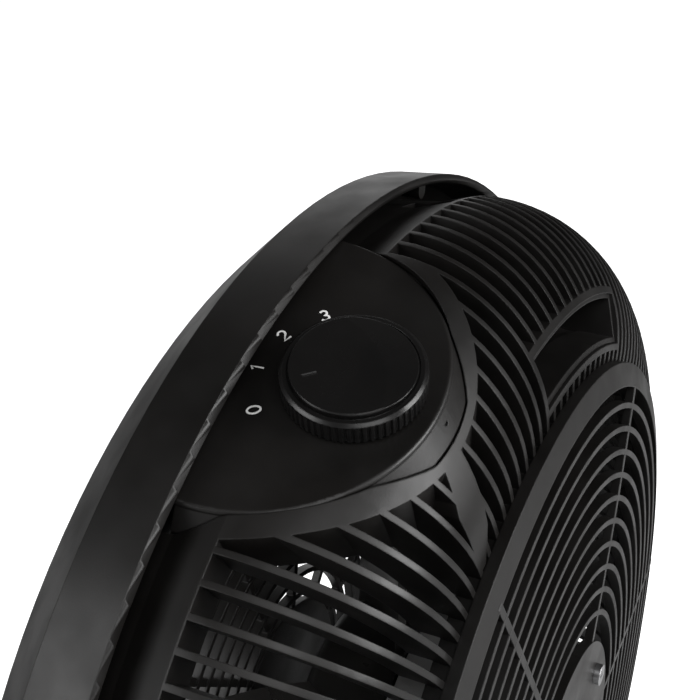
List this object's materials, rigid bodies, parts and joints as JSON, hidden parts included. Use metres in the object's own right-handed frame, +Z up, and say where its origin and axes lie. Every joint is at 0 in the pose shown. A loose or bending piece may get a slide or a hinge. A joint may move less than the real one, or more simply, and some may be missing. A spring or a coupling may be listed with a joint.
{
  "type": "box fan",
  "caption": "Round floor-standing box fan: hooped housing with a ribbed rear shell, grip recess, rotary speed knob, guards, bladed impeller and rear-mounted motor.",
  "frame": {"origin": "on the floor under the fan axis, in the plane of the hoop's rear edge", "axes": "+Z up, +Y out of the ribbed rear along the fan axis (air leaves towards -Y), +X towards the control panel's side"},
  "size_m": [0.4, 0.164, 0.414],
  "materials": {
    "black_plastic": "satin moulded, fine spark texture",
    "knob_plastic": "semi-gloss face, ribbed edge",
    "badge_plastic": "plain gloss disc",
    "impeller_plastic": "satin moulded",
    "screw_steel": "zinc plated",
    "spring_steel": "bright rolled",
    "shaft_steel": "ground",
    "switch_plastic": "moulded",
    "contact_brass": "stamped",
    "bell_metal": "pressed and painted",
    "lamination_steel": "varnished laminations",
    "winding_copper": "enamelled wire, varnished",
    "soft_rubber": "moulded",
    "lead_sleeve": "extruded sleeve"
  },
  "bodies": {
    "housing": {"front_ring": "black_plastic", "rear_shell": "black_plastic", "grip_insert": "black_plastic", "rear_guard": "black_plastic", "front_guard": "black_plastic", "control_panel": "black_plastic", "foot_left": "black_plastic", "foot_right": "black_plastic", "front_badge": "badge_plastic", "case_screws": "screw_steel", "panel_screws": "screw_steel", "foot_screws": "screw_steel", "motor_bolts": "screw_steel", "motor_nuts": "screw_steel", "switch_washer": "spring_steel", "switch_nut": "spring_steel", "capacitor_strap": "spring_steel", "switch_body": "switch_plastic", "thermal_fuse": "switch_plastic", "capacitor": "switch_plastic", "switch_terminals": "contact_brass", "rear_bearing": "contact_brass", "front_bearing": "contact_brass", "motor_rear_bell": "bell_metal", "motor_front_bell": "bell_metal", "stator_core": "lamination_steel", "winding_rear": "winding_copper", "winding_front": "winding_copper", "foot_pads": "soft_rubber", "cord_gland": "soft_rubber", "supply_lead": "lead_sleeve", "motor_lead": "lead_sleeve"},
    "impeller": {"impeller": "impeller_plastic", "drive_pin": "spring_steel", "spinner_nut": "impeller_plastic", "motor_shaft": "shaft_steel", "rotor": "lamination_steel", "rear_thrust_washer": "shaft_steel", "front_thrust_washer": "shaft_steel"},
    "knob": {"speed_knob": "knob_plastic", "knob_clip": "spring_steel", "switch_spindle": "shaft_steel"}
  },
  "joints": [
    {"name": "impeller_spin", "type": "hinge", "parent": "housing", "child": "impeller", "pos_m": [0, 0, 0.214], "axis": [0, -1, 0], "continuous": true},
    {"name": "knob_turn", "type": "hinge", "parent": "housing", "child": "knob", "pos_m": [0.0935, 0.02539, 0.37594], "axis": [-0.4959, -0.1271, -0.859], "range_deg": [0, 90]}
  ]
}
